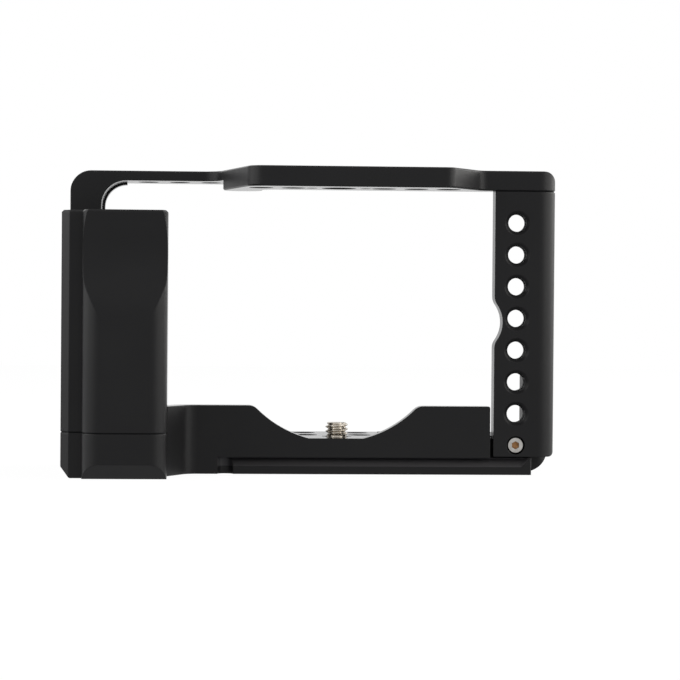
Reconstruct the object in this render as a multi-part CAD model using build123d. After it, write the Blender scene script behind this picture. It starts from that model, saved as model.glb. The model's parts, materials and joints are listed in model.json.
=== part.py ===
from build123d import *
from math import hypot
import os

# Camera cage: a dovetail base with a front lip, an arched top plate on a rear leg,
# a flanged side panel and a hand-grip column with a finger scoop.
# Millimetres. Seen from the front, +X is to the right; +Y is to the back and +Z is up.
# The origin is the centre of the underside of the cage's bounding box.

# ---------------------------------------------------------------- overall size
overall_width = 137.0
overall_height = 85.0
base_depth = 38.0            # lip face to back edge, the width of the dovetail
grip_reach = 19.1            # lip face forward to the grip's outer strip
grip_rise = 7.0              # strip forward to the face of the finger block
top_reach = 15.1             # lip face forward to the front of the top bar
lens_x = 7.0                 # lens axis, right of the cage's middle

left_x = -overall_width / 2
right_x = overall_width / 2
back_y = (base_depth + grip_reach + grip_rise) / 2
lip_y = back_y - base_depth
strip_y = lip_y - grip_reach
block_y = strip_y - grip_rise
bar_front_y = lip_y - top_reach

# ---------------------------------------------------------------- base
base_thickness = 10.0
foot_height = 12.35          # seam between the base and what stands on its left end
lip_height = 9.1             # above the base's floor
lip_thickness = 4.5
lip_corner = 0.5             # upper right corner of the lip
lens_radius = 31.2           # lens cut-out in the lip
lens_rise = 30.25            # lens axis above the base's floor
lens_corner = 3.5            # rounding where the cut-out meets the lip's top
lip_gap = 0.95               # lip's right end to the side panel's flange
bend_run = 5.6               # lip's bend towards the grip: sideways
bend_reach = 10.5            # lip's bend towards the grip: forward
bend_radius = 4.0
ledge_height = 5.1           # the side panel stands on this ledge
rail_inset = 6.7             # right end of the front rail, in from the cage's side
end_relief = 13.5            # the base's right end starts this far behind the lip's face
end_corner = 3.0             # upright corner where it starts
back_corner = 3.0            # upright corners at the back
base_edge = 7.0              # rounded lower right edge
side_bevel_width = 2.4       # bevel along the lower left edge
side_bevel_height = 3.0
side_bevel_round = 0.8       # rounding where the bevel meets the side and the underside
foot_bevel = 4.0             # bevel under the front of the finger block
groove_lip = 2.1             # flat below the dovetail's flank
groove_depth = 2.3           # also the flank's rise: it slopes at 45 degrees
groove_height = 2.6
groove_cutter = 2.6          # radius that the cutter leaves at the right end of a groove
entry_radius = 2.15          # upright pocket where the cutter enters at the left end
groove_left = 44.7           # the front groove's entry pocket, in from the cage's left side
groove_right = 7.2           # right end of the front groove, in from the cage's side
back_groove_left = 14.0
back_groove_right = 9.0

floor_z = base_thickness
lip_top_z = floor_z + lip_height
lens_z = floor_z + lens_rise
groove_top_z = groove_lip + groove_height
lip_inner_y = lip_y + lip_thickness

# ---------------------------------------------------------------- grip column
grip_width = 28.7
strip_width = 5.85
strip_bevel = 2.2            # upright bevel on the outer front edge
block_corner = 4.8           # upright front corners of the finger block
grip_height = 59.85          # above the seam
grip_side_wall = 6.4
grip_front_wall = 4.0        # behind the strip
grip_inner_corner = 3.0
grip_top_bevel = 0.55        # top edge of the finger block
seam_bevel = 0.25            # both edges of the seam round the column's foot
scoop_top_depth = 1.4        # how far the finger scoop cuts back the top edge
scoop_turn_depth = 5.5       # where the scoop's two slopes would meet, before rounding
scoop_turn_drop = 14.3       # the same meeting point, down from the column's top
scoop_foot_drop = 25.1       # where the lower slope would reach the block's face
scoop_radius = 17.0
scoop_blend = 17.0

grip_right = left_x + grip_width
step_x = left_x + strip_width
grip_top_z = foot_height + grip_height
grip_inner_x = left_x + grip_side_wall
grip_inner_y = strip_y + grip_front_wall
bend_x = grip_right + bend_run
bend_y = lip_y - bend_reach

# ---------------------------------------------------------------- side panel
flange_width = 17.4
flange_thickness = 6.0
flange_corner = 5.0
side_wall = 5.05
panel_foot_round = 1.8       # lower right edge
panel_top_bevel = 0.3        # outer edges under the top plate
panel_inner_corner = 2.0
notch_radius = 8.5           # finger notch in the flange's inner edge
notch_depth = 2.3
notch_z = 42.7
notch_blend = 4.0
window_front = 16.0          # port window, back from the flange's face
window_low_z = 30.0
window_rail = 4.8            # rail above the port window
window_corner = 3.0

flange_left = right_x - flange_width
flange_back_y = lip_y + flange_thickness
lip_right = flange_left - lip_gap
wall_x = right_x - side_wall
rail_end = right_x - rail_inset

# ---------------------------------------------------------------- top plate and rear leg
top_thickness = 5.6
beam_thickness = 2.8
beam_depth = 17.5
bar_left = 24.5              # front left corner, left of the lens axis
bar_right = 30.6             # front right corner, right of the lens axis
bar_tail = 7.5               # back edge of the front bar, behind the lip's face
left_slant = 9.0             # sideways run of the left side, from the bar's front to the beam
right_slant = 9.6
arm_side = 20.4              # right side of the arm to the rear beam, left of the lens axis
arm_reach = 19.2             # end of the thick part of the arm, behind the lip's face
arm_round = 5.0              # rounding of that end
side_arm_width = 12.5        # arm over the side panel
bar_left_corner = 5.0
bar_corner = 3.2
plate_inner_corner = 4.0
plate_end_corner = 1.2
beam_fillet = 5.5
leg_inset = 0.4
lip_seam = 0.1               # upright seam between the lip and the grip column
leg_width = 8.8
arch_outer_radius = 6.0
arch_inner_radius = 7.0
arch_rib_height = 0.6        # low rib along the back of the leg's inner side and the arch
arch_rib_depth = 3.9
top_right_edge = 3.6

top_under_z = overall_height - top_thickness
beam_under_z = overall_height - beam_thickness
beam_front_y = back_y - beam_depth
leg_left = left_x + leg_inset
leg_inner = leg_left + leg_width
bar_left_x = lens_x - bar_left
bar_right_x = lens_x + bar_right
bar_back_y = lip_y + bar_tail
arm_left = bar_left_x - left_slant
arm_right = lens_x - arm_side
arm_end_y = lip_y + arm_reach
side_arm_x = right_x - side_arm_width

# ---------------------------------------------------------------- holes for accessories
quarter_radius = 2.6         # 1/4-20 thread, at its crests
quarter_chamfer = 0.85
three_eighths_radius = 4.0   # 3/8-16 thread, at its crests
pin_hole_radius = 1.25       # locating holes beside the 3/8-16 thread
pin_hole_offset = 7.5
panel_pitch = 8.9
panel_row_inset = 11.1       # row of holes, in from the cage's right side
panel_screw_z = 8.3          # hex screw at the foot of the row
panel_first_rise = 8.8       # from that screw up to the first hole
panel_hole_count = 7
top_row_back = -3.8          # row of holes in the front bar, from the lip's face
top_pitch = 9.0
top_first = 12.5             # first 1/4-20 hole, from the lens axis
top_left_count = 2
top_right_count = 3
beam_first = 53.0            # first hole in the rear beam, left of the lens axis
beam_hole_count = 3
beam_row_back = 29.25
base_hole_x = 7.7            # either side of the lens axis
base_hole_front = 19.0       # behind the lip's face
base_hole_pitch = 12.0

# ---------------------------------------------------------------- camera screw
screw_offset = 0.8           # right of the lens axis
screw_back = 11.0            # behind the lip's face
screw_stand = 4.0            # tip above the base's floor
screw_major = 3.175          # 1/4-20 thread, at its crests
screw_tip_bevel = 0.6
screw_shank = 2.85           # plain shank under the thread
thread_start = 0.35          # the thread begins this far above the base's floor
screw_bore_gap = 0.3
web_thickness = 2.6          # base above the screw's head
washer_thickness = 0.6
washer_radius = 6.1
head_radius = 6.0
head_thickness = 2.2
head_bevel = 0.4
head_gap = 0.45              # between the head and its counterbore
slot_width = 1.6
slot_depth = 1.1
ring_width = 0.9             # rubber ring round the screw
ring_height = 1.1
ring_fit = 0.08
ring_seat_gap = 0.05
clip_groove = 0.5            # depth of the clip's groove in the counterbore
clip_fit = 0.05
clip_thickness = 0.8
clip_width = 1.6
clip_opening = 5.0
clip_z = 0.6

screw_x = lens_x + screw_offset
screw_y = lip_y + screw_back
pocket_top_z = floor_z - web_thickness
head_top_z = pocket_top_z - washer_thickness
pocket_radius = head_radius + head_gap

# ---------------------------------------------------------------- fasteners and pads
thread_radius = 1.25         # M2.5 screws throughout
thread_fit = 0.05
shank_gap = 0.15
cap_head_radius = 2.25
cap_head_height = 2.5
cap_head_bevel = 0.2
cap_pocket_gap = 0.3
cap_sink = 0.6               # heads sit this far below the surface
hex_across = 2.0
hex_depth = 1.3
flat_head_radius = 2.35
flat_head_height = 1.1
flat_sink = 0.15
engagement = 5.0             # thread in the piece that the screw pulls against
thread_spare = 1.0           # blind hole beyond the screw's end
dowel_radius = 1.0
dowel_half = 3.0             # dowel length each side of its seam
dowel_fit = 0.02
dowel_end_gap = 0.3
leg_screw_spread = 5.0       # either side of the leg's middle
leg_hole_inset = 5.3         # from the cage's left side
grip_screw_inset = 5.8       # from the sides of the finger block
grip_screw_forward = 2.9     # ahead of the column's inner face
arch_screw_inset = 4.1       # from the cage's left side
arch_screw_low = 18.0        # above the seam
arch_screw_high = 46.0
arch_screw_sink = 8.0        # heads sunk in the back of the leg
side_screw_front = 15.0      # behind the lip's face
side_screw_back = 31.0
top_screw_inset = 3.2        # from the flange's inner edge
rear_dowel_back = 30.0       # behind the lip's face
pad_thickness = 1.0
pad_recess = 0.6
pad_gap = 0.1
pad_corner = 1.5
pad_border = 6.0             # plain floor round the base's pads
left_pad_clear = 18.0        # from the rear leg to the left pad
base_pad_clear = 6.0         # from the base's rows of holes to its pads
wall_pad_border = 3.0
edge_break = 0.35

overrun = 1.0                # how far a cutting tool runs past a face
position_tolerance = 0.001   # for picking edges in a plane

up, down = (0, 0, 1), (0, 0, -1)
backward, forward = (0, 1, 0), (0, -1, 0)
to_left, to_right = (-1, 0, 0), (1, 0, 0)


# ---------------------------------------------------------------- helpers
def block(x_low, x_high, y_low, y_high, z_low, z_high):
    """A box between two corners."""
    size = Box(x_high - x_low, y_high - y_low, z_high - z_low, align=(Align.MIN,) * 3)
    return Pos(x_low, y_low, z_low) * size


def rod(start, direction, radius, length):
    """A cylinder from a point along a direction."""
    body = Cylinder(radius, length, align=(Align.CENTER, Align.CENTER, Align.MIN))
    return Plane(origin=start, z_dir=direction) * body


def cone(start, direction, first_radius, last_radius, length):
    """A cone from a point along a direction."""
    body = Cone(first_radius, last_radius, length, align=(Align.CENTER, Align.CENTER, Align.MIN))
    return Plane(origin=start, z_dir=direction) * body


def outline(corners):
    """A closed face in the XY plane from (x, y, corner radius) entries."""
    points = [(x, y) for x, y, _ in corners]
    radii = [radius for _, _, radius in corners]
    return make_face(FilletPolyline(*points, radius=radii, close=True))


def slab(corners, z_low, z_high):
    """A plate with a plan outline between two heights."""
    return Pos(0, 0, z_low) * extrude(outline(corners), amount=z_high - z_low)


def slab_along_y(corners, y_low, y_high):
    """A front-view outline of (x, z, corner radius) entries between two depths."""
    plane = Plane(origin=(0, y_high, 0), x_dir=to_right, z_dir=forward)
    return extrude(plane * outline(corners), amount=y_high - y_low)


def slab_along_x(corners, x_low, x_high):
    """A side-view outline of (y, z, corner radius) entries between two sides."""
    plane = Plane(origin=(x_low, 0, 0), x_dir=backward, z_dir=to_right)
    return extrude(plane * outline(corners), amount=x_high - x_low)


def shifted(point, direction, distance):
    """A point moved along a unit direction."""
    return tuple(p + d * distance for p, d in zip(point, direction))


def opposite(direction):
    return tuple(-d for d in direction)


def mouth(point, into, radius, chamfer_size):
    """Cutter for the chamfered mouth of a hole."""
    start = shifted(point, into, -overrun)
    return cone(start, into, radius + chamfer_size + overrun, radius, chamfer_size + overrun)


def through_hole(point, into, radius, chamfer_size, depth):
    """Cutter for a hole through a wall, chamfered on both faces."""
    bore = rod(shifted(point, into, -overrun), into, radius, depth + 2 * overrun)
    near_mouth = mouth(point, into, radius, chamfer_size)
    far_mouth = mouth(shifted(point, into, depth), opposite(into), radius, chamfer_size)
    return bore + near_mouth + far_mouth


def edge_round(corner_x, corner_z, radius, inward_x, inward_z):
    """Cutter that rounds an edge running front to back. The inward signs point into the part."""
    middle_x = corner_x + inward_x * radius
    middle_z = corner_z + inward_z * radius
    outer_x = corner_x - inward_x * overrun
    outer_z = corner_z - inward_z * overrun
    x_low, x_high = sorted((middle_x, outer_x))
    z_low, z_high = sorted((middle_z, outer_z))
    square = block(x_low, x_high, block_y - overrun, back_y + overrun, z_low, z_high)
    start = (middle_x, block_y - 2 * overrun, middle_z)
    return square - rod(start, backward, radius, back_y - block_y + 4 * overrun)


def edges_at(part, axis, position):
    """Edges that lie in one plane across an axis."""
    low, high = position - position_tolerance, position + position_tolerance
    return part.edges().filter_by_position(axis, low, high)


# ---------------------------------------------------------------- fasteners
def hex_socket(point, into):
    plane = Plane(origin=point, z_dir=into)
    return extrude(plane * RegularPolygon(hex_across / 2, 6, major_radius=False), amount=hex_depth)


def cap_screw(surface, into, sink, length):
    """Hex socket cap screw in a pocket. length runs from under its head."""
    face = shifted(surface, into, sink)
    bevel = cone(face, into, cap_head_radius - cap_head_bevel, cap_head_radius, cap_head_bevel)
    head_start = shifted(face, into, cap_head_bevel)
    head = rod(head_start, into, cap_head_radius, cap_head_height - cap_head_bevel)
    shank = rod(shifted(face, into, cap_head_height), into, thread_radius, length)
    return bevel + head + shank - hex_socket(face, into)


def cap_pocket(surface, into, sink, clear_depth):
    """Counterbore for a cap screw, and its clearance hole through clear_depth of material."""
    start = shifted(surface, into, -overrun)
    pocket = rod(start, into, cap_head_radius + cap_pocket_gap, overrun + sink + cap_head_height)
    return pocket + rod(surface, into, thread_radius + shank_gap, clear_depth)


def flat_screw(surface, into, length):
    """Hex socket countersunk screw. length runs from the surface."""
    face = shifted(surface, into, flat_sink)
    head = cone(face, into, flat_head_radius, thread_radius, flat_head_height)
    shank = rod(face, into, thread_radius, length - flat_sink)
    return head + shank - hex_socket(face, into)


def flat_pocket(surface, into, clear_depth):
    """Countersink and clearance hole for a countersunk screw."""
    entry = rod(shifted(surface, into, -overrun), into, flat_head_radius + shank_gap, overrun + flat_sink)
    face = shifted(surface, into, flat_sink)
    sink = cone(face, into, flat_head_radius + shank_gap, thread_radius + shank_gap, flat_head_height)
    return entry + sink + rod(surface, into, thread_radius + shank_gap, clear_depth)


def tapped_hole(seam, into):
    """Blind hole for a screw's thread, starting at the seam."""
    return rod(seam, into, thread_radius + thread_fit, engagement + thread_spare)


def dowel(seam):
    pin = rod(shifted(seam, down, dowel_half), up, dowel_radius, 2 * dowel_half)
    return chamfer(pin.edges().filter_by(GeomType.CIRCLE), dowel_radius / 5)


def dowel_hole(seam):
    half = dowel_half + dowel_end_gap
    return rod(shifted(seam, down, half), up, dowel_radius + dowel_fit, 2 * half)


def group(parts):
    return Compound(children=[part.solid() for part in parts])


# ---------------------------------------------------------------- shared places
leg_middle_y = back_y - beam_depth / 2
leg_hole_x = left_x + leg_hole_inset
leg_screw_places = [(leg_hole_x, leg_middle_y + side * leg_screw_spread) for side in (-1, 1)]
leg_dowel_place = (leg_hole_x, leg_middle_y, foot_height)

grip_screw_y = grip_inner_y - grip_screw_forward
grip_screw_places = [(x, grip_screw_y) for x in (step_x + grip_screw_inset, grip_right - grip_screw_inset)]
grip_dowel_places = [
    ((step_x + grip_right) / 2, grip_screw_y, foot_height),
    (left_x + grip_side_wall / 2, lip_y, foot_height),
]
arch_screw_x = left_x + arch_screw_inset
arch_screw_places = [
    (arch_screw_x, back_y, foot_height + rise) for rise in (arch_screw_low, arch_screw_high)
]

panel_row_x = right_x - panel_row_inset
panel_screw_place = (panel_row_x, lip_y, panel_screw_z)
side_screw_z = (ledge_height + floor_z) / 2
side_screw_places = [(right_x, lip_y + back, side_screw_z) for back in (side_screw_front, side_screw_back)]
top_screw_y = (lip_y + flange_back_y) / 2
top_screw_places = [
    (x, top_screw_y, overall_height) for x in (flange_left + top_screw_inset, right_x - flange_corner)
]
panel_dowel_places = [
    (panel_row_x, top_screw_y, top_under_z),
    ((wall_x + right_x) / 2, lip_y + rear_dowel_back, top_under_z),
]

# The bend's inner face runs parallel to its outer face, one lip thickness in.
bend_length = hypot(bend_run, bend_reach)
bend_along = (bend_run / bend_length, bend_reach / bend_length)
bend_inner_x = grip_right - bend_along[1] * lip_thickness
bend_inner_y = bend_y + bend_along[0] * lip_thickness


def bend_inner_at(y):
    """X of the bend's inner face at a depth."""
    return bend_inner_x + (y - bend_inner_y) * bend_run / bend_reach


# Plan outline of the grip column, which also stands on a rim of the same shape.
column_outline = [
    (left_x, beam_front_y, 0),
    (left_x, strip_y + strip_bevel, 0),
    (left_x + strip_bevel, strip_y, 0),
    (step_x, strip_y, 0),
    (step_x, block_y, block_corner),
    (grip_right, block_y, block_corner),
    (grip_right, bend_y, 0),
    (bend_inner_x, bend_inner_y, 0),
    (bend_inner_at(grip_inner_y), grip_inner_y, grip_inner_corner),
    (grip_inner_x, grip_inner_y, grip_inner_corner),
    (grip_inner_x, beam_front_y, 0),
]


def column_edges(part, z):
    """Outer edges of the grip column's outline at one height."""
    return [
        edge for edge in edges_at(part, Axis.Z, z)
        if edge.center().Y < strip_y + grip_front_wall / 2
        or edge.center().X < left_x + edge_break
        or edge.center().X > grip_right - edge_break
    ]


# ---------------------------------------------------------------- pads
def pad_slab(size_a, size_b, thickness):
    corners = [(0, 0), (size_a, 0), (size_a, size_b), (0, size_b)]
    return extrude(outline([(a, b, pad_corner) for a, b in corners]), amount=thickness)


def pad_and_recess(plane, size_a, size_b):
    """A pad and the cutter of its recess. The plane's Z points out of the wall."""
    pad = plane * Pos(pad_gap, pad_gap, -pad_recess) * pad_slab(size_a, size_b, pad_thickness)
    recess = pad_slab(size_a + 2 * pad_gap, size_b + 2 * pad_gap, pad_recess + overrun)
    return pad, plane * Pos(0, 0, -pad_recess) * recess


base_pad_front = lip_inner_y + pad_border
base_pad_depth = back_y - pad_border - base_pad_front
left_pad_x = leg_inner + left_pad_clear
left_pad_width = lens_x - base_hole_x - base_pad_clear - left_pad_x
right_pad_x = lens_x + base_hole_x + base_pad_clear
right_pad_width = wall_x - pad_border - right_pad_x
base_pad_left, left_recess = pad_and_recess(
    Plane(origin=(left_pad_x, base_pad_front, floor_z), x_dir=to_right, z_dir=up),
    left_pad_width,
    base_pad_depth,
)
base_pad_right, right_recess = pad_and_recess(
    Plane(origin=(right_pad_x, base_pad_front, floor_z), x_dir=to_right, z_dir=up),
    right_pad_width,
    base_pad_depth,
)
wall_pad_z = floor_z + wall_pad_border
wall_pad_y = lip_y + window_front
wall_pad, wall_recess = pad_and_recess(
    Plane(origin=(wall_x, wall_pad_y, wall_pad_z), x_dir=up, z_dir=to_left),
    window_low_z - wall_pad_border - wall_pad_z,
    back_y - wall_pad_border - wall_pad_y,
)
grip_pad_x = grip_inner_x + grip_inner_corner
grip_pad_z = foot_height + pad_border
grip_pad, grip_recess = pad_and_recess(
    Plane(origin=(grip_pad_x, grip_inner_y, grip_pad_z), x_dir=up, z_dir=backward),
    grip_height - 2 * pad_border,
    bend_inner_at(grip_inner_y) - grip_inner_corner - grip_pad_x,
)


# ---------------------------------------------------------------- base plate
def dovetail_groove(face_y, inward, entry_x, x_end):
    """Cutter of a dovetail groove in a long edge. inward is the sign of Y into the base."""
    deep_y = face_y + inward * groove_depth
    flank_top = groove_lip + groove_depth
    outside_y = face_y - inward * overrun
    section = [
        (face_y, groove_lip, 0),
        (deep_y, flank_top, 0),
        (deep_y, groove_top_z, 0),
        (outside_y, groove_top_z, 0),
        (outside_y, groove_lip, 0),
    ]
    x = x_end - groove_cutter
    groove = slab_along_x(section, entry_x, x)
    cutter_y = deep_y - inward * groove_cutter
    groove += cone((x, cutter_y, groove_lip), up, groove_cutter - groove_depth, groove_cutter, groove_depth)
    groove += rod((x, cutter_y, flank_top), up, groove_cutter, groove_top_z - flank_top)
    entry_start = (entry_x, deep_y - inward * entry_radius, -overrun)
    return groove + rod(entry_start, up, entry_radius, groove_top_z + overrun)


def make_base():
    plan = [
        (left_x, strip_y + strip_bevel, 0),
        (left_x + strip_bevel, strip_y, 0),
        (grip_right, strip_y, 0),
        (grip_right, bend_y, 0),
        (bend_x, lip_y, bend_radius),
        (rail_end, lip_y, edge_break),
    ]
    right_end = [
        (rail_end, lip_y + end_relief, 0),
        (right_x, lip_y + end_relief, end_corner),
        (right_x, back_y, back_corner),
    ]
    # Above the ledge the base stops at the side panel's flange and wall.
    panel_seat = [
        (rail_end, flange_back_y, 0),
        (wall_x, flange_back_y, 0),
        (wall_x, back_y, 0),
    ]
    back_left = [(left_x, back_y, back_corner)]
    base = slab(plan + right_end + back_left, 0, ledge_height)
    base += slab(plan + panel_seat + back_left, ledge_height, floor_z)

    foot = slab(
        [
            (step_x, bend_y, 0),
            (step_x, block_y, block_corner),
            (grip_right, block_y, block_corner),
            (grip_right, bend_y, 0),
        ],
        0,
        floor_z,
    )
    bevel_back = block_y + foot_bevel
    foot_wedge = [
        (block_y - overrun, foot_bevel + overrun, 0),
        (bevel_back + overrun, -overrun, 0),
        (block_y - overrun, -overrun, 0),
    ]
    base += foot - slab_along_x(foot_wedge, step_x - overrun, grip_right + overrun)

    rim = slab(column_outline, floor_z, foot_height)
    base += chamfer(column_edges(rim, foot_height), seam_bevel)
    leg_rim = [
        (left_x, beam_front_y, 0),
        (leg_inner, beam_front_y, 0),
        (leg_inner, back_y, 0),
        (left_x, back_y, back_corner),
    ]
    base += slab(leg_rim, floor_z, foot_height)

    # The lip meets the grip column along a fine upright seam.
    inner_bend = (bend_inner_at(lip_inner_y), lip_inner_y, bend_radius + lip_thickness)
    for start, z_low, z_high in ((0, floor_z, foot_height), (lip_seam, foot_height, lip_top_z)):
        lip_plan = [
            (grip_right + start * bend_along[0], bend_y + start * bend_along[1], 0),
            (bend_x, lip_y, bend_radius),
            (lip_right, lip_y, 0),
            (lip_right, lip_inner_y, 0),
            inner_bend,
            (bend_inner_x + start * bend_along[0], bend_inner_y + start * bend_along[1], 0),
        ]
        base += slab(lip_plan, z_low, z_high)

    lens_cut = rod((lens_x, lip_y - overrun, lens_z), backward, lens_radius, lip_thickness + 2 * overrun)
    lens_cut &= block(left_x, right_x, block_y, back_y, floor_z, lens_z)
    base -= lens_cut
    lip_edges = edges_at(base, Axis.Z, lip_top_z).filter_by(Axis.Y)
    lip_edges = lip_edges.sort_by(Axis.X)
    base = fillet(lip_edges[-3:-1], lens_corner)
    base = fillet(edges_at(base, Axis.Z, lip_top_z).filter_by(Axis.Y).sort_by(Axis.X)[-1:], lip_corner)

    # Seat of the side panel's flange.
    base -= block(lip_right, right_x, lip_y - overrun, flange_back_y, groove_top_z, lip_top_z + overrun)

    base -= dovetail_groove(lip_y, 1, left_x + groove_left, right_x - groove_right)
    base -= dovetail_groove(back_y, -1, left_x + back_groove_left, right_x - back_groove_right)
    base -= edge_round(right_x, 0, base_edge, -1, 1)
    bevel = [
        (left_x, foot_height, 0),
        (left_x, side_bevel_height, side_bevel_round),
        (left_x + side_bevel_width, 0, side_bevel_round),
        (left_x + foot_height, 0, 0),
        (left_x + foot_height, -overrun, 0),
        (left_x - overrun, -overrun, 0),
        (left_x - overrun, foot_height, 0),
    ]
    base -= slab_along_y(bevel, strip_y - overrun, back_y + overrun)

    # Camera screw: clearance bore, ring seat above, counterbore and clip groove below.
    base -= rod((screw_x, screw_y, -overrun), up, screw_major + screw_bore_gap, floor_z + 2 * overrun)
    seat_radius = screw_major + ring_fit + ring_width + ring_seat_gap
    base -= rod((screw_x, screw_y, floor_z - ring_height), up, seat_radius, ring_height + overrun)
    base -= rod((screw_x, screw_y, -overrun), up, pocket_radius, pocket_top_z + overrun)
    groove_slack = 2 * clip_fit
    clip_cut = rod(
        (screw_x, screw_y, clip_z - clip_fit), up, pocket_radius + clip_groove, clip_thickness + groove_slack
    )
    base -= clip_cut

    for x in (lens_x - base_hole_x, lens_x + base_hole_x):
        for back in (base_hole_front, base_hole_front + base_hole_pitch):
            base -= through_hole((x, lip_y + back, floor_z), down, quarter_radius, quarter_chamfer, floor_z)

    for x, y in leg_screw_places + grip_screw_places:
        base -= cap_pocket((x, y, 0), up, cap_sink, foot_height + overrun)
    for place in [leg_dowel_place] + grip_dowel_places:
        base -= dowel_hole(place)
    base -= tapped_hole((panel_row_x, flange_back_y, panel_screw_z), backward)
    for _, y, z in side_screw_places:
        base -= tapped_hole((wall_x, y, z), to_left)
    return base - left_recess - right_recess


# ---------------------------------------------------------------- grip column
def make_grip():
    grip = slab(column_outline, foot_height, grip_top_z)

    # Side view of the finger scoop: it leans in from the top edge, turns, and comes out again.
    turn = (block_y + scoop_turn_depth, grip_top_z - scoop_turn_drop, scoop_radius)
    foot = (block_y, grip_top_z - scoop_foot_drop, scoop_blend)
    lean = (scoop_turn_depth - scoop_top_depth) / scoop_turn_drop
    low_z = grip_top_z - scoop_foot_drop - scoop_turn_depth
    scoop = [
        (block_y + scoop_top_depth - lean * overrun, grip_top_z + overrun, 0),
        turn,
        foot,
        (block_y, low_z, 0),
        (block_y - overrun, low_z, 0),
        (block_y - overrun, grip_top_z + overrun, 0),
    ]
    grip -= slab_along_x(scoop, step_x - overrun, grip_right + overrun)

    grip = chamfer(column_edges(grip, grip_top_z), grip_top_bevel)
    grip = chamfer(column_edges(grip, foot_height), seam_bevel)

    for x, y in grip_screw_places:
        grip -= tapped_hole((x, y, foot_height), up)
    for place in grip_dowel_places:
        grip -= dowel_hole(place)
    for x, _, z in arch_screw_places:
        grip -= tapped_hole((x, beam_front_y, z), forward)
    return grip - grip_recess


# ---------------------------------------------------------------- side panel
def make_panel():
    plan = [
        (flange_left, lip_y, 0),
        (right_x, lip_y, flange_corner),
        (right_x, back_y, edge_break),
        (wall_x, back_y, 0),
        (wall_x, flange_back_y, panel_inner_corner),
        (flange_left, flange_back_y, 0),
    ]
    panel = slab(plan, ledge_height, top_under_z)
    top_edges = [
        edge for edge in edges_at(panel, Axis.Z, top_under_z)
        if edge.center().Y < lip_y + edge_break or edge.center().X > right_x - flange_corner / 2
    ]
    panel = chamfer(top_edges, panel_top_bevel)
    panel -= edge_round(right_x, ledge_height, panel_foot_round, -1, 1)
    # The fillet behind the flange stops at the base's floor.
    seat_corner = flange_back_y + panel_inner_corner
    panel -= block(wall_x - panel_inner_corner, wall_x, flange_back_y, seat_corner, ledge_height, floor_z)

    window_top_z = top_under_z - window_rail
    window = [
        (lip_y + window_front, window_low_z, window_corner),
        (back_y + overrun, window_low_z, 0),
        (back_y + overrun, window_top_z, 0),
        (lip_y + window_front, window_top_z, window_corner),
    ]
    panel -= slab_along_x(window, wall_x - overrun, right_x + overrun)

    notch_x = flange_left + notch_depth - notch_radius
    notch_start = (notch_x, lip_y - overrun, notch_z)
    panel -= rod(notch_start, backward, notch_radius, flange_thickness + 2 * overrun)
    notch_edges = panel.edges().filter_by(Axis.Y).filter_by_position(
        Axis.X, flange_left - edge_break, flange_left + edge_break
    )
    notch_edges = notch_edges.filter_by_position(Axis.Z, notch_z - notch_radius, notch_z + notch_radius)
    panel = fillet(notch_edges, notch_blend)

    for step in range(panel_hole_count):
        z = panel_screw_z + panel_first_rise + step * panel_pitch
        place = (panel_row_x, lip_y, z)
        panel -= through_hole(place, backward, quarter_radius, quarter_chamfer, flange_thickness)

    panel -= cap_pocket(panel_screw_place, backward, cap_sink, flange_thickness + overrun)
    for place in side_screw_places:
        panel -= flat_pocket(place, to_left, side_wall + overrun)
    for x, y, _ in top_screw_places:
        panel -= tapped_hole((x, y, top_under_z), down)
    for place in panel_dowel_places:
        panel -= dowel_hole(place)
    return panel - wall_recess


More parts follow.
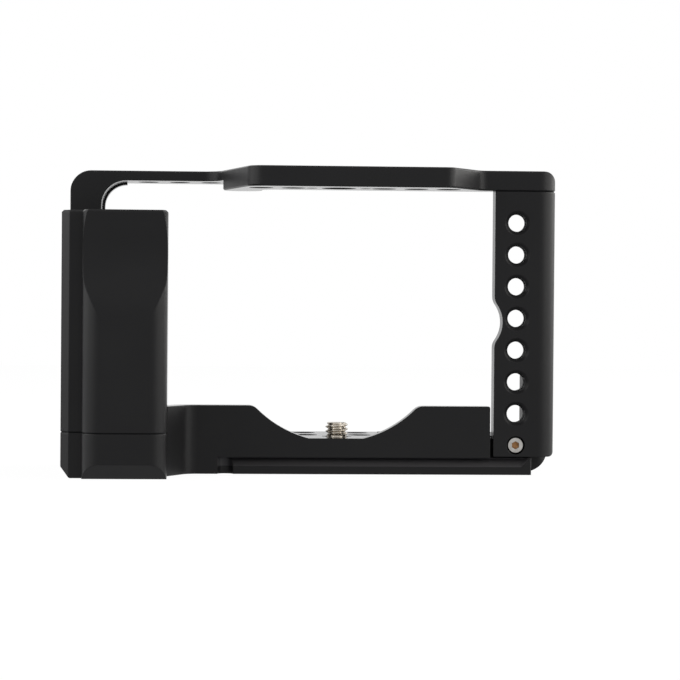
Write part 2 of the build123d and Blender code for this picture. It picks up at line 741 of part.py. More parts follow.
# ---------------------------------------------------------------- top plate
def make_top():
    plan = [
        (bar_left_x, bar_front_y, bar_left_corner),
        (bar_right_x, bar_front_y, bar_corner),
        (bar_right_x + right_slant, lip_y, bar_corner),
        (right_x, lip_y, flange_corner),
        (right_x, back_y, plate_inner_corner),
        (side_arm_x, back_y, plate_end_corner),
        (side_arm_x, bar_back_y, plate_inner_corner),
        (arm_right, bar_back_y, plate_inner_corner),
        (arm_right, back_y, plate_end_corner),
        (leg_left, back_y, plate_end_corner),
        (leg_left, beam_front_y, 0),
        (arm_left, beam_front_y, beam_fillet),
    ]
    top = slab(plan, beam_under_z, overall_height)
    top = chamfer(edges_at(top, Axis.Z, overall_height), edge_break)

    slant_lean = left_slant / (beam_front_y - bar_front_y)
    thick_plan = [
        (bar_left_x, bar_front_y, bar_left_corner),
        (bar_right_x, bar_front_y, bar_corner),
        (bar_right_x + right_slant, lip_y, bar_corner),
        (right_x, lip_y, flange_corner),
        (right_x, back_y, plate_inner_corner),
        (side_arm_x, back_y, plate_end_corner),
        (side_arm_x, bar_back_y, plate_inner_corner),
        (arm_right, bar_back_y, plate_inner_corner),
        (arm_right, arm_end_y, arm_round),
        (bar_left_x - slant_lean * (arm_end_y - bar_front_y), arm_end_y, arm_round),
    ]
    thick = slab(thick_plan, top_under_z, beam_under_z)
    top += chamfer(edges_at(thick, Axis.Z, top_under_z), edge_break)

    leg = slab(
        [
            (leg_left, beam_front_y, edge_break),
            (leg_inner, beam_front_y, edge_break),
            (leg_inner, back_y, edge_break),
            (leg_left, back_y, plate_end_corner),
        ],
        foot_height,
        beam_under_z,
    )
    inner_x = leg_inner + arch_inner_radius
    inner_z = beam_under_z - arch_inner_radius
    corner = block(leg_inner - overrun, inner_x, beam_front_y, back_y, inner_z, beam_under_z)
    arch_start = (inner_x, beam_front_y - overrun, inner_z)
    corner -= rod(arch_start, backward, arch_inner_radius, beam_depth + 2 * overrun)
    rib_y = back_y - arch_rib_depth
    rib_x = leg_inner + arch_rib_height
    rib = slab(
        [
            (leg_inner - overrun, rib_y, 0),
            (rib_x, rib_y, 0),
            (rib_x, back_y, edge_break),
            (leg_inner - overrun, back_y, 0),
        ],
        foot_height,
        inner_z,
    )
    rib_corner = block(leg_inner - overrun, inner_x, rib_y, back_y, inner_z, beam_under_z)
    rib_radius = arch_inner_radius - arch_rib_height
    rib_corner -= rod((inner_x, rib_y - overrun, inner_z), backward, rib_radius, arch_rib_depth + 2 * overrun)
    top += leg + corner + rib + rib_corner
    top -= edge_round(leg_left, overall_height, arch_outer_radius, 1, -1)
    top -= edge_round(right_x, overall_height, top_right_edge, -1, -1)

    row_y = lip_y + top_row_back
    offsets = [-top_first - step * top_pitch for step in range(top_left_count)]
    offsets += [top_first + step * top_pitch for step in range(top_right_count)]
    for offset in offsets:
        place = (lens_x + offset, row_y, overall_height)
        top -= through_hole(place, down, quarter_radius, quarter_chamfer, top_thickness)
    centre = (lens_x, row_y, overall_height)
    top -= through_hole(centre, down, three_eighths_radius, quarter_chamfer, top_thickness)
    for side in (-1, 1):
        place = (lens_x + side * pin_hole_offset, row_y, overall_height)
        top -= through_hole(place, down, pin_hole_radius, edge_break, top_thickness)
    for step in range(beam_hole_count):
        place = (lens_x - beam_first + step * top_pitch, lip_y + beam_row_back, overall_height)
        top -= through_hole(place, down, quarter_radius, edge_break, beam_thickness)

    for place in top_screw_places:
        top -= flat_pocket(place, down, top_thickness + overrun)
    for place in panel_dowel_places + [leg_dowel_place]:
        top -= dowel_hole(place)
    for x, y in leg_screw_places:
        top -= tapped_hole((x, y, foot_height), up)
    for place in arch_screw_places:
        top -= cap_pocket(place, forward, arch_screw_sink, beam_depth + overrun)
    return top


# ---------------------------------------------------------------- camera screw and its ring
def make_screw():
    tip_z = floor_z + screw_stand
    head = rod((screw_x, screw_y, head_top_z - head_thickness), up, head_radius, head_thickness)
    head = chamfer(head.edges().filter_by(GeomType.CIRCLE), head_bevel)
    thread_z = floor_z + thread_start
    shank = rod((screw_x, screw_y, head_top_z), up, screw_shank, thread_z - head_top_z)
    thread = rod((screw_x, screw_y, thread_z), up, screw_major, tip_z - thread_z)
    thread = chamfer(edges_at(thread, Axis.Z, tip_z), screw_tip_bevel)
    slot = block(
        screw_x - slot_width / 2,
        screw_x + slot_width / 2,
        screw_y - 2 * head_radius,
        screw_y + 2 * head_radius,
        head_top_z - head_thickness - overrun,
        head_top_z - head_thickness + slot_depth,
    )
    return head + shank + thread - slot


def flat_ring(inner_radius, outer_radius, z_low, height):
    body = rod((screw_x, screw_y, z_low), up, outer_radius, height)
    return body - rod((screw_x, screw_y, z_low - overrun), up, inner_radius, height + 2 * overrun)


clip_outer = pocket_radius + clip_groove - clip_fit
clip_gap_block = block(
    screw_x - clip_opening / 2,
    screw_x + clip_opening / 2,
    screw_y,
    screw_y + 2 * clip_outer,
    clip_z - overrun,
    clip_z + clip_thickness + overrun,
)
ring_inner = screw_major + ring_fit

cap_reach = cap_sink + cap_head_height
base_screw_length = foot_height - cap_reach + engagement
nodes = {
    "base_plate": make_base(),
    "top_plate": make_top(),
    "side_panel": make_panel(),
    "grip_shell": make_grip(),
    "camera_screw": make_screw(),
    "screw_washer": flat_ring(screw_major + screw_bore_gap, washer_radius, head_top_z, washer_thickness),
    "screw_ring": flat_ring(ring_inner, ring_inner + ring_width, floor_z - ring_height, ring_height),
    "retaining_clip": flat_ring(clip_outer - clip_width, clip_outer, clip_z, clip_thickness) - clip_gap_block,
    "panel_front_screw": cap_screw(
        panel_screw_place, backward, cap_sink, flange_thickness - cap_reach + engagement
    ),
    "panel_side_screws": group(
        [flat_screw(place, to_left, side_wall + engagement) for place in side_screw_places]
    ),
    "panel_top_screws": group(
        [flat_screw(place, down, top_thickness + engagement) for place in top_screw_places]
    ),
    "panel_dowels": group([dowel(place) for place in panel_dowel_places]),
    "leg_screws": group(
        [cap_screw((x, y, 0), up, cap_sink, base_screw_length) for x, y in leg_screw_places]
    ),
    "leg_dowel": dowel(leg_dowel_place),
    "grip_screws": group(
        [cap_screw((x, y, 0), up, cap_sink, base_screw_length) for x, y in grip_screw_places]
    ),
    "grip_dowels": group([dowel(place) for place in grip_dowel_places]),
    "arch_screws": group(
        [
            cap_screw(
                place, forward, arch_screw_sink, beam_depth - arch_screw_sink - cap_head_height + engagement
            )
            for place in arch_screw_places
        ]
    ),
    "base_pad_left": base_pad_left,
    "base_pad_right": base_pad_right,
    "grip_pad": grip_pad,
    "wall_pad": wall_pad,
}

os.makedirs("parts", exist_ok=True)
for name, shape in nodes.items():
    export_step(shape, "parts/" + name + ".step")
    size = shape.bounding_box().size
    print(name, len(shape.solids()), round(size.X, 2), round(size.Y, 2), round(size.Z, 2))
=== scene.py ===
import json
import math

import bmesh
import bpy
from mathutils import Matrix, Vector


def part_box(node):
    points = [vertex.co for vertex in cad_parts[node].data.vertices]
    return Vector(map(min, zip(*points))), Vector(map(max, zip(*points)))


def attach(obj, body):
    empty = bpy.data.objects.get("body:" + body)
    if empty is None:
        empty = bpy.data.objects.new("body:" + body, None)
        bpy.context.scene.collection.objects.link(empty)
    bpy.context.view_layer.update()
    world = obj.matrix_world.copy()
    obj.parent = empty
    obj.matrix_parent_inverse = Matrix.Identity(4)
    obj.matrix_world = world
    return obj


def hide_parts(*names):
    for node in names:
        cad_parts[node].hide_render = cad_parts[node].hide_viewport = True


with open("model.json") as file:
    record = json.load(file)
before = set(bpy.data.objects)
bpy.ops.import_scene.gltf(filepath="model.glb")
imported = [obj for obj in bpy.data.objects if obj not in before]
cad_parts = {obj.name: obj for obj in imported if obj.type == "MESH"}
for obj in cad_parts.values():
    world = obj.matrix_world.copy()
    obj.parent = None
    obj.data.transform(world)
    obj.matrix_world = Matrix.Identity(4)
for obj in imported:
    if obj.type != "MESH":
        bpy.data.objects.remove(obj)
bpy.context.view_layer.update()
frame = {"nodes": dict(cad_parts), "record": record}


# ------------------------------------------------------------------ sizes and places
def middle(box, axis):
    return (box[0][axis] + box[1][axis]) / 2


MM = 0.001
HAIR = 1e-5
WELD = 1e-6                                # points this near to each other are one
mounts = {mount["name"]: mount for mount in frame["record"]["mounts"]}
slots = {entry["node"]: entry["material_slot"] for entry in frame["record"]["subparts"]}
screw_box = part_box("camera_screw")
screw_x = middle(screw_box, 0)
screw_y = middle(screw_box, 1)
screw_tip = screw_box[1][2]
base_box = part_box("base_plate")

QUARTER_PITCH = 25.4 / 20 * MM             # 1/4-20 thread
THREE_EIGHTHS_PITCH = 25.4 / 16 * MM       # 3/8-16 thread
CREST_FLAT = 0.08                          # half of a thread's flat top, as a share of its pitch

SCREW_MAJOR = 3.175 * MM                   # radius over the camera screw's thread
SCREW_MINOR = 2.5 * MM                     # radius at the thread's bottom
SCREW_START = 2.8 * MM                     # radius from which the thread grows out of the shank
SCREW_BEVEL = 0.6 * MM
SCREW_FLANK = 0.3                          # width of the thread's flank, as a share of its pitch
THREAD_FOOT = 10.35 * MM                   # the thread begins here, just above the base's floor
THREAD_SUNK = 0.1 * MM                     # how far the drawn thread reaches down into the shank

QUARTER_WALL = 2.6 * MM                    # radius of a tapped hole
QUARTER_CREST = 2.42 * MM                  # radius inside the ridges on its wall
THREE_EIGHTHS_WALL = 4.0 * MM
THREE_EIGHTHS_CREST = 3.72 * MM
RIDGE_HALF = 0.42                          # half of a ridge's foot, as a share of its pitch
RIDGE_SUNK = 0.05 * MM                     # how far a ridge's foot lies in the wall
FLANGE_RIDGES = 3.3 * MM                   # length of the ridges along a hole
BAR_RIDGES = 3.0 * MM
BEAM_RIDGES = 1.6 * MM
FORWARD, UPWARD = (0, -1, 0), (0, 0, 1)
TAPPED_ROWS = (
    ("flange_holes_low", FORWARD, FLANGE_RIDGES),
    ("flange_holes_middle", FORWARD, FLANGE_RIDGES),
    ("flange_holes_high", FORWARD, FLANGE_RIDGES),
    ("flange_hole_top", FORWARD, FLANGE_RIDGES),
    ("top_right_holes", UPWARD, BAR_RIDGES),
    ("top_right_end_hole", UPWARD, BAR_RIDGES),
    ("top_left_holes", UPWARD, BAR_RIDGES),
    ("beam_holes", UPWARD, BEAM_RIDGES),
    ("beam_hole_right", UPWARD, BEAM_RIDGES),
)

DOVETAIL_HALF = 19.0 * MM                  # half of the dovetail's width
DOVETAIL_MIDDLE = base_box[1][1] - DOVETAIL_HALF
# Painted light: a paler skin lies in the dovetail's grooves and stands in for light in their shade. Each
# pair gives where it fades in or out.
GROOVE_LIGHT_OUTER = (DOVETAIL_HALF - 0.15 * MM, DOVETAIL_HALF - 0.02 * MM)
GROOVE_LIGHT_INNER = (DOVETAIL_HALF - 2.6 * MM, DOVETAIL_HALF - 2.4 * MM)
GROOVE_LIGHT_LOW = (2.05 * MM, 2.25 * MM)
GROOVE_LIGHT_HIGH = (4.66 * MM, 4.7 * MM)

SOCKET_DEPTH = 1.3 * MM                    # the front screw's hexagon socket
SOCKET_ACROSS = 1.96 * MM
PLATE_ROOM = 0.15 * MM                     # room for the brown plate at its bottom
PLATE_FILL = 0.9                           # share of that room that the plate takes


# ------------------------------------------------------------------ node graphs
def grey(value):
    return (value, value, value, 1.0)


class Graph:
    """The nodes and links of one material or of the world."""

    def __init__(self, tree):
        self.nodes = tree.nodes
        self.links = tree.links

    def feed(self, source, entry):
        """Gives an input a number, or links it to a socket."""
        if isinstance(source, (int, float)):
            entry.default_value = source
        else:
            self.links.new(source, entry)

    def object_place(self):
        return self.nodes.new("ShaderNodeTexCoord").outputs["Object"]

    def split(self, vector):
        node = self.nodes.new("ShaderNodeSeparateXYZ")
        self.links.new(vector, node.inputs["Vector"])
        return node.outputs

    def calculate(self, operation, *sources):
        node = self.nodes.new("ShaderNodeMath")
        node.operation = operation
        for source, entry in zip(sources, node.inputs):
            self.feed(source, entry)
        return node.outputs[0]

    def product(self, first, *others):
        total = first
        for factor in others:
            total = self.calculate("MULTIPLY", total, factor)
        return total

    def span(self, source, start, end, at_start, at_end):
        """Eases from one value to another while the source goes from start to end."""
        node = self.nodes.new("ShaderNodeMapRange")
        node.interpolation_type = "SMOOTHSTEP"
        self.links.new(source, node.inputs["Value"])
        node.inputs["From Min"].default_value = start
        node.inputs["From Max"].default_value = end
        node.inputs["To Min"].default_value = at_start
        node.inputs["To Max"].default_value = at_end
        return node.outputs["Result"]

    def noise(self, place, scale, detail):
        node = self.nodes.new("ShaderNodeTexNoise")
        node.inputs["Scale"].default_value = scale
        node.inputs["Detail"].default_value = detail
        self.links.new(place, node.inputs["Vector"])
        return node.outputs["Fac"]

    def ramp(self, source, low, high, dark, light):
        """Maps a 0-1 signal between low and high to a span of values or colours."""
        node = self.nodes.new("ShaderNodeValToRGB")
        first, last = node.color_ramp.elements
        first.position, first.color = low, dark
        last.position, last.color = high, light
        self.links.new(source, node.inputs["Fac"])
        return node.outputs["Color"]

    def mix_colours(self, share, first, second):
        node = self.nodes.new("ShaderNodeMixRGB")
        self.links.new(share, node.inputs["Fac"])
        self.links.new(first, node.inputs["Color1"])
        node.inputs["Color2"].default_value = second
        return node.outputs["Color"]

    def mix_shaders(self, share, first, second):
        node = self.nodes.new("ShaderNodeMixShader")
        self.feed(share, node.inputs["Fac"])
        self.links.new(first, node.inputs[1])
        self.links.new(second, node.inputs[2])
        return node.outputs["Shader"]

    def bump(self, height, distance, strength, normal=None):
        node = self.nodes.new("ShaderNodeBump")
        node.inputs["Strength"].default_value = strength
        node.inputs["Distance"].default_value = distance
        self.links.new(height, node.inputs["Height"])
        if normal is not None:
            self.links.new(normal, node.inputs["Normal"])
        return node.outputs["Normal"]

    def rounded_edges(self, radius):
        node = self.nodes.new("ShaderNodeBevel")
        node.samples = 6
        node.inputs["Radius"].default_value = radius
        return node.outputs["Normal"]

    def smoother_at_flat_angles(self, roughness, least):
        """Matt surfaces look smoother where they are seen at a flat angle."""
        facing = self.nodes.new("ShaderNodeLayerWeight")
        facing.inputs["Blend"].default_value = 0.5
        share = self.ramp(facing.outputs["Facing"], low=0.72, high=0.97, dark=grey(1.0), light=grey(least))
        return self.calculate("MULTIPLY", roughness, share)


# ------------------------------------------------------------------ materials
def new_material(name):
    material = bpy.data.materials.new(name)
    material.use_nodes = True
    graph = Graph(material.node_tree)
    return material, graph, graph.nodes["Principled BSDF"]


def dovetail_flanks(graph, place):
    """1 inside the dovetail grooves, where a paler colour paints light into their shade, and 0 elsewhere.
    """
    spot = graph.split(place)
    from_middle = graph.calculate("SUBTRACT", spot["Y"], DOVETAIL_MIDDLE)
    reach = graph.calculate("ABSOLUTE", from_middle)
    return graph.product(
        graph.span(reach, *GROOVE_LIGHT_OUTER, 1.0, 0.0),
        graph.span(reach, *GROOVE_LIGHT_INNER, 0.0, 1.0),
        graph.span(spot["Z"], *GROOVE_LIGHT_LOW, 0.0, 1.0),
        graph.span(spot["Z"], *GROOVE_LIGHT_HIGH, 1.0, 0.0),
    )


def anodised_black(name="anodised_black", groove_light=False):
    """Bead-blasted aluminium with a black anodised skin: fine grain, faint handling marks."""
    material, graph, shader = new_material(name)
    place = graph.object_place()
    blotches = graph.noise(place, scale=60.0, detail=4.0)
    dark, light = (0.006, 0.006, 0.0066, 1), (0.0085, 0.0085, 0.0089, 1)
    colour = graph.ramp(blotches, low=0.3, high=0.75, dark=dark, light=light)
    if groove_light:
        # The paler colour in the dovetail grooves is painted light that brightens their shade.
        painted_groove_light = (0.046, 0.045, 0.047, 1)
        colour = graph.mix_colours(dovetail_flanks(graph, place), colour, painted_groove_light)
    graph.links.new(colour, shader.inputs["Base Color"])
    sheen_patches = graph.noise(place, scale=140.0, detail=5.0)
    roughness = graph.ramp(sheen_patches, low=0.25, high=0.8, dark=grey(0.37), light=grey(0.45))
    roughness = graph.smoother_at_flat_angles(roughness, least=0.35)
    graph.links.new(roughness, shader.inputs["Roughness"])
    shader.inputs["Specular IOR Level"].default_value = 0.17
    grain = graph.noise(place, scale=4200.0, detail=2.0)
    edges = graph.rounded_edges(0.35 * MM)
    normal = graph.bump(grain, distance=0.02 * MM, strength=0.35, normal=edges)
    graph.links.new(normal, shader.inputs["Normal"])
    return material


def turned_steel(name, dark, light, rough):
    """Bare metal with faint stains and fine tool marks."""
    material, graph, shader = new_material(name)
    place = graph.object_place()
    stains = graph.noise(place, scale=700.0, detail=4.0)
    colour = graph.ramp(stains, low=0.3, high=0.7, dark=dark, light=light)
    graph.links.new(colour, shader.inputs["Base Color"])
    shader.inputs["Metallic"].default_value = 1.0
    wear = graph.noise(place, scale=1500.0, detail=3.0)
    roughness = graph.ramp(wear, low=0.3, high=0.7, dark=grey(rough[0]), light=grey(rough[1]))
    graph.links.new(roughness, shader.inputs["Roughness"])
    tool_marks = graph.noise(place, scale=5000.0, detail=2.0)
    normal = graph.bump(tool_marks, distance=0.01 * MM, strength=0.4)
    graph.links.new(normal, shader.inputs["Normal"])
    return material


def soft_material(name, dark, light, rough, grain_scale, grain_depth):
    """Rubber or plastic with a fine grain and a little dust."""
    material, graph, shader = new_material(name)
    place = graph.object_place()
    dust = graph.noise(place, scale=250.0, detail=5.0)
    colour = graph.ramp(dust, low=0.35, high=0.75, dark=dark, light=light)
    graph.links.new(colour, shader.inputs["Base Color"])
    wear = graph.noise(place, scale=500.0, detail=3.0)
    roughness = graph.ramp(wear, low=0.3, high=0.7, dark=grey(rough[0]), light=grey(rough[1]))
    roughness = graph.smoother_at_flat_angles(roughness, least=0.45)
    graph.links.new(roughness, shader.inputs["Roughness"])
    grain = graph.noise(place, scale=grain_scale, detail=3.0)
    normal = graph.bump(grain, distance=grain_depth, strength=0.5)
    graph.links.new(normal, shader.inputs["Normal"])
    return material


materials = {
    "anodised_black": anodised_black(),
    # the base plate's black skin, with painted light in its dovetail grooves
    "dovetail_groove_light": anodised_black("dovetail_groove_light", groove_light=True),
    "steel": turned_steel(
        "steel", dark=(0.4, 0.36, 0.3, 1), light=(0.64, 0.6, 0.54, 1), rough=(0.22, 0.36)
    ),
    "bright_steel": turned_steel(
        "bright_steel", dark=(0.3, 0.29, 0.275, 1), light=(0.42, 0.41, 0.395, 1), rough=(0.3, 0.42)
    ),
    "socket_bottom": turned_steel(
        "socket_bottom", dark=(0.2, 0.1, 0.045, 1), light=(0.34, 0.18, 0.08, 1), rough=(0.4, 0.6)
    ),
    "dark_steel": turned_steel(
        "dark_steel", dark=(0.035, 0.034, 0.034, 1), light=(0.06, 0.058, 0.056, 1), rough=(0.34, 0.46)
    ),
    "rubber": soft_material(
        "rubber", dark=grey(0.012), light=grey(0.02), rough=(0.7, 0.85),
        grain_scale=2500.0, grain_depth=0.03 * MM,
    ),
    "nylon": soft_material(
        "nylon", dark=(0.62, 0.6, 0.55, 1), light=(0.72, 0.7, 0.65, 1), rough=(0.4, 0.55),
        grain_scale=1800.0, grain_depth=0.02 * MM,
    ),
}

finishes = dict(slots, panel_front_screw="bright_steel", base_plate="dovetail_groove_light")
for name, node in frame["nodes"].items():
    node.data.materials.clear()
    node.data.materials.append(materials[finishes[name]])


# ------------------------------------------------------------------ pieces
def piece(name, vertices, faces, slot_name, body, smooth=True):
    mesh = bpy.data.meshes.new(name)
    mesh.from_pydata(vertices, [], faces)
    mesh.update()
    thing = bpy.data.objects.new(name, mesh)
    bpy.context.scene.collection.objects.link(thing)
    mesh.materials.append(materials[slot_name])
    if smooth:
        mesh.shade_smooth()
    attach(thing, body)
    return thing


def cut_off_above(mesh, height):
    """Deletes the faces that lie above a height or reach past it, and closes the hole."""
    upper = [
        face for face in mesh.faces
        if min(vertex.co.z for vertex in face.verts) > height - HAIR
        or max(vertex.co.z for vertex in face.verts) > height + HAIR
    ]
    bmesh.ops.delete(mesh, geom=upper, context="FACES")
    bmesh.ops.holes_fill(mesh, edges=[edge for edge in mesh.edges if edge.is_boundary])


def thread_radius(turn, z, foot):
    """Radius of the screw's thread at a share of a turn and a height."""
    phase = ((z - foot) / QUARTER_PITCH - turn) % 1.0
    flank = min(max((abs(phase - 0.5) - CREST_FLAT) / SCREW_FLANK, 0.0), 1.0)
    threaded = SCREW_MAJOR + (SCREW_MINOR - SCREW_MAJOR) * flank
    bevelled = SCREW_MAJOR - SCREW_BEVEL + (screw_tip - z)
    growing = SCREW_START + max(z - THREAD_FOOT, 0.0)
    return min(threaded, bevelled, growing)


def camera_screw():
    """The screw with its thread cut: head, slot and shank from the frame, and a helix above the floor."""
    mesh = bmesh.new()
    mesh.from_mesh(frame["nodes"]["camera_screw"].data)
    bmesh.ops.remove_doubles(mesh, verts=mesh.verts, dist=WELD)
    cut_off_above(mesh, THREAD_FOOT)
    around, rings = 64, 96
    foot = THREAD_FOOT - THREAD_SUNK
    grid = []
    for ring in range(rings + 1):
        z = foot + (screw_tip - foot) * ring / rings
        row = []
        for step in range(around):
            turn = step / around
            radius = thread_radius(turn, z, foot)
            angle = turn * 2 * math.pi
            place = (screw_x + radius * math.cos(angle), screw_y + radius * math.sin(angle), z)
            row.append(mesh.verts.new(place))
        grid.append(row)
    for lower, above in zip(grid, grid[1:]):
        for step in range(around):
            after = (step + 1) % around
            mesh.faces.new((lower[step], lower[after], above[after], above[step]))
    mesh.faces.new(list(reversed(grid[0])))
    mesh.faces.new(grid[-1])
    data = bpy.data.meshes.new("camera_screw_threaded")
    mesh.to_mesh(data)
    mesh.free()
    data.set_sharp_from_angle(angle=math.radians(28))
    screw = bpy.data.objects.new("camera_screw_threaded", data)
    bpy.context.scene.collection.objects.link(screw)
    data.materials.append(materials["steel"])
    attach(screw, "screw")
    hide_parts("camera_screw")


def hole_thread(name, start, direction, wall, crest, pitch, length):
    """The ridge of a thread on the wall of a hole, as one closed coil."""
    start, direction = Vector(start), Vector(direction).normalized()
    side = direction.orthogonal().normalized()
    other = direction.cross(side)
    per_turn = 28
    steps = int(length / pitch * per_turn)
    sunk = wall + RIDGE_SUNK
    half = RIDGE_HALF * pitch
    flat = CREST_FLAT * pitch
    vertices, faces = [], []
    for step in range(steps + 1):
        angle = 2 * math.pi * step / per_turn
        outward = math.cos(angle) * side + math.sin(angle) * other
        middle_point = start + direction * (half + (length - 2 * half) * step / steps)
        for radius, along in ((sunk, -half), (crest, -flat), (crest, flat), (sunk, half)):
            vertices.append(middle_point + outward * radius + direction * along)
    for step in range(steps):
        low, high = 4 * step, 4 * step + 4
        for corner in range(4):
            after = (corner + 1) % 4
            faces.append((low + corner, low + after, high + after, high + corner))
    faces.append((3, 2, 1, 0))
    faces.append(tuple(range(4 * steps, 4 * steps + 4)))
    return piece(name, vertices, faces, slots["side_panel"], "cage")


def holes_of(name):
    """Middle points of the holes of one mount: a single hole, or a pair along X or up the flange."""
    mount = mounts[name]
    place, dims = Vector(mount["pos_m"]), mount["dims"]
    if dims.get("count", 1) == 1:
        return [place]
    step = Vector((dims.get("spacing_x_mm", 0.0) * MM, 0, dims.get("spacing_y_mm", 0.0) * MM))
    return [place - step / 2, place + step / 2]


def cut_threads():
    """Ridges in the tapped holes of the flange, the top bar and the beam, at half the thread's pitch."""
    for name, axis, length in TAPPED_ROWS:
        axis = Vector(axis)
        for number, place in enumerate(holes_of(name), 1):
            start = place - axis * length / 2
            ridge = f"{name}_thread_{number}"
            hole_thread(ridge, start, axis, QUARTER_WALL, QUARTER_CREST, QUARTER_PITCH / 2, length)
    axis = Vector(UPWARD)
    start = Vector(mounts["top_thread"]["pos_m"]) - axis * BAR_RIDGES / 2
    wall, crest, pitch = THREE_EIGHTHS_WALL, THREE_EIGHTHS_CREST, THREE_EIGHTHS_PITCH / 2
    hole_thread("top_thread_ridge", start, axis, wall, crest, pitch, BAR_RIDGES)


def socket_bottom():
    """The brown bottom of the front screw's hexagon socket, a hair above the drilled metal."""
    low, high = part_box("panel_front_screw")
    x, z = (low[0] + high[0]) / 2, (low[2] + high[2]) / 2
    front = low[1] + SOCKET_DEPTH - PLATE_ROOM
    back = front + PLATE_ROOM * PLATE_FILL
    reach = SOCKET_ACROSS / math.sqrt(3)
    angles = [math.radians(60 * corner + 30) for corner in range(6)]
    ring = [(x + reach * math.cos(angle), z + reach * math.sin(angle)) for angle in angles]
    vertices = [(px, y, pz) for y in (front, back) for px, pz in ring]
    faces = [tuple(range(6)), tuple(range(11, 5, -1))]
    faces += [((corner + 1) % 6, corner, corner + 6, (corner + 1) % 6 + 6) for corner in range(6)]
    plate = piece("socket_bottom", vertices, faces, "socket_bottom", "cage", smooth=False)


camera_screw()
cut_threads()
socket_bottom()


# ------------------------------------------------------------------ floor, light and camera
# Strengths of the glow that only soft light sees; the camera, metal and glass see plain white.
ROOM_LEVEL, ROOM_TOP = 0.055, 0.03         # the room at eye level and overhead
BACKDROP_LOW, BACKDROP_HIGH = 1.04, 1.0    # the backdrop below and above the horizon
TABLE_FRONT = 0.3                          # the table far in front of the object
TABLE_LIT = 0.78                           # its lit strip, nearer the object
TABLE_NEAR = 0.27                          # under the object
TABLE_BEHIND = 0.22
TABLE_TINT, ROOM_TINT = (0.92, 0.93, 1.0, 1.0), (0.86, 0.9, 1.0, 1.0)
TABLE_DROP = 0.0001                        # the table lies this far under the object
SHADOW_SHARE = 0.05                        # share of real shading in the table's white
LAMP_AIM = (0, 0, 0.04)

# The camera was fitted to the edges of the object in the photograph.
PICTURE = 680.0                            # the photograph's width in pixels
FOCAL_PIXELS = 2443.9
CAMERA_PLACE = (-0.03347, -0.68501, 0.04686)
CAMERA_YAW, CAMERA_PITCH, CAMERA_ROLL = math.radians(3.485), math.radians(0.794), math.radians(0.465)


def background_switch(graph, for_soft_light, for_view, output):
    """One shader for what the camera, metal and glass see, another for soft light."""
    ray = graph.nodes.new("ShaderNodeLightPath").outputs
    seen = graph.calculate("MAXIMUM", ray["Is Camera Ray"], ray["Is Glossy Ray"])
    seen = graph.calculate("MAXIMUM", seen, ray["Is Transmission Ray"])
    graph.links.new(graph.mix_shaders(seen, for_soft_light, for_view), output)


def add_floor():
    """A white table, with a faint share of real shading for contact shadows."""
    side, front, back = 2.5, -0.5, 1.2
    corners = [(-side, front, 0), (side, front, 0), (side, back, 0), (-side, back, 0)]
    mesh = bpy.data.meshes.new("floor")
    mesh.from_pydata(corners, [], [(0, 1, 2, 3)])
    floor = bpy.data.objects.new("floor", mesh)
    floor.location.z = -TABLE_DROP
    bpy.context.scene.collection.objects.link(floor)
    material, graph, shader = new_material("floor")
    shader.inputs["Base Color"].default_value = grey(0.8)
    shader.inputs["Roughness"].default_value = 0.9
    shader.inputs["Emission Color"].default_value = grey(1.0)
    shader.inputs["Emission Strength"].default_value = 0.5
    white = graph.nodes.new("ShaderNodeEmission")
    glow = graph.nodes.new("ShaderNodeEmission")
    glow.inputs["Color"].default_value = TABLE_TINT
    along = graph.split(graph.object_place())["Y"]
    behind = graph.span(along, 0.05, 0.25, TABLE_NEAR, TABLE_BEHIND)
    lit = graph.span(along, -0.06, -0.12, 0.0, TABLE_LIT - TABLE_NEAR)
    far = graph.span(along, -0.2, -0.4, 0.0, TABLE_LIT - TABLE_FRONT)
    strip = graph.calculate("SUBTRACT", lit, far)
    graph.links.new(graph.calculate("ADD", behind, strip), glow.inputs["Strength"])
    shaded = graph.mix_shaders(SHADOW_SHARE, white.outputs["Emission"], shader.outputs["BSDF"])
    surface = graph.nodes["Material Output"].inputs["Surface"]
    background_switch(graph, glow.outputs["Emission"], shaded, surface)
    mesh.materials.append(material)


def add_panel_light(name, place, width, height, radiance, colour):
    data = bpy.data.lights.new(name, "AREA")
    data.color = colour
    data.shape = "RECTANGLE"
    data.size = width
    data.size_y = height
    data.energy = radiance * math.pi * width * height
    lamp = bpy.data.objects.new(name, data)
    lamp.location = place
    lamp.rotation_euler = (Vector(LAMP_AIM) - Vector(place)).to_track_quat("-Z", "Y").to_euler()
    bpy.context.scene.collection.objects.link(lamp)


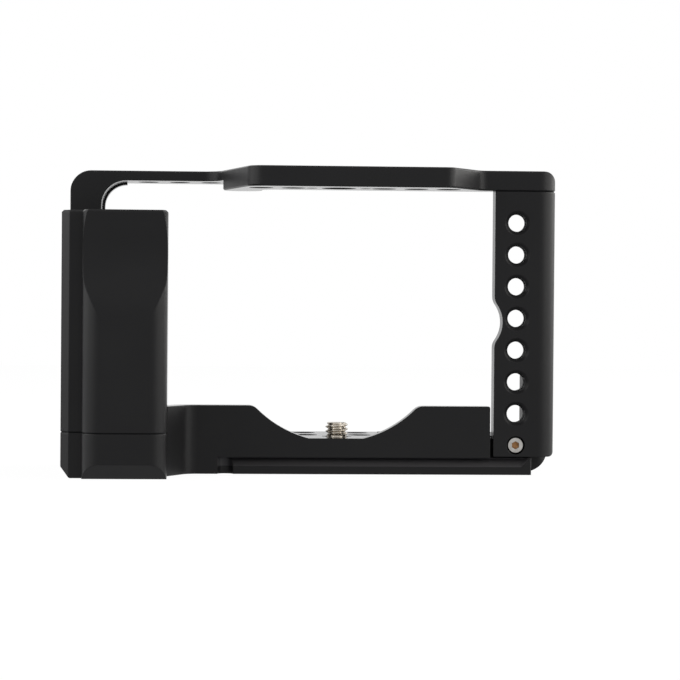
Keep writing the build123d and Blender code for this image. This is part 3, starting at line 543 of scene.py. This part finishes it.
def add_world():
    """White to the camera and in reflections. Soft light comes from a dark room with a backdrop behind."""
    world = bpy.data.worlds.new("studio")
    bpy.context.scene.world = world
    world.use_nodes = True
    graph = Graph(world.node_tree)
    direction = graph.nodes.new("ShaderNodeTexCoord").outputs["Generated"]
    sideways, back, height = graph.split(direction)
    off_middle = graph.calculate("ABSOLUTE", sideways)
    backdrop = graph.product(
        graph.span(back, 0.3, 0.7, 0.0, 1.0),
        graph.span(off_middle, 0.25, 0.6, 1.0, 0.15),
        graph.span(sideways, -0.1, -0.03, 0.2, 1.0),
        graph.span(height, 0.1, 0.25, 1.0, 0.3),
        graph.span(sideways, 0.01, 0.06, 1.0, 1.25),
        graph.span(height, -0.02, 0.04, BACKDROP_LOW, BACKDROP_HIGH),
    )
    room_glow = graph.span(height, 0.1, 0.8, ROOM_LEVEL, ROOM_TOP)
    room = graph.nodes["Background"]
    room.inputs["Color"].default_value = ROOM_TINT
    graph.links.new(graph.calculate("ADD", backdrop, room_glow), room.inputs["Strength"])
    white = graph.nodes.new("ShaderNodeBackground")
    white.inputs["Strength"].default_value = 1.0
    white.inputs["Color"].default_value = grey(1.0)
    surface = graph.nodes["World Output"].inputs["Surface"]
    background_switch(graph, room.outputs["Background"], white.outputs["Background"], surface)


def add_camera():
    """The photographer stood a little to the left of the middle and half way up the cage."""
    cosine = math.cos(CAMERA_PITCH)
    ahead = Vector((math.sin(CAMERA_YAW) * cosine, math.cos(CAMERA_YAW) * cosine, -math.sin(CAMERA_PITCH)))
    level = Vector((math.cos(CAMERA_YAW), -math.sin(CAMERA_YAW), 0.0))
    above = level.cross(ahead)
    right = math.cos(CAMERA_ROLL) * level + math.sin(CAMERA_ROLL) * above
    up = -math.sin(CAMERA_ROLL) * level + math.cos(CAMERA_ROLL) * above
    data = bpy.data.cameras.new("camera")
    data.sensor_width = 36.0
    data.lens = data.sensor_width * FOCAL_PIXELS / PICTURE
    data.clip_start = 0.01
    camera = bpy.data.objects.new("camera", data)
    turn = Matrix((right, up, -ahead)).transposed().to_4x4()
    camera.matrix_world = Matrix.Translation(Vector(CAMERA_PLACE)) @ turn
    bpy.context.scene.collection.objects.link(camera)
    bpy.context.scene.camera = camera


add_floor()
add_world()
add_panel_light(
    "left_box", place=(-0.966, -0.259, 0.47), width=1.4, height=0.8, radiance=3.4, colour=(1.0, 0.99, 0.98)
)
add_panel_light(
    "right_box", place=(0.998, -0.06, 0.47), width=2.0, height=0.8, radiance=4.3, colour=(1.0, 0.98, 0.95)
)
add_camera()
bpy.context.scene.view_settings.view_transform = "Standard"
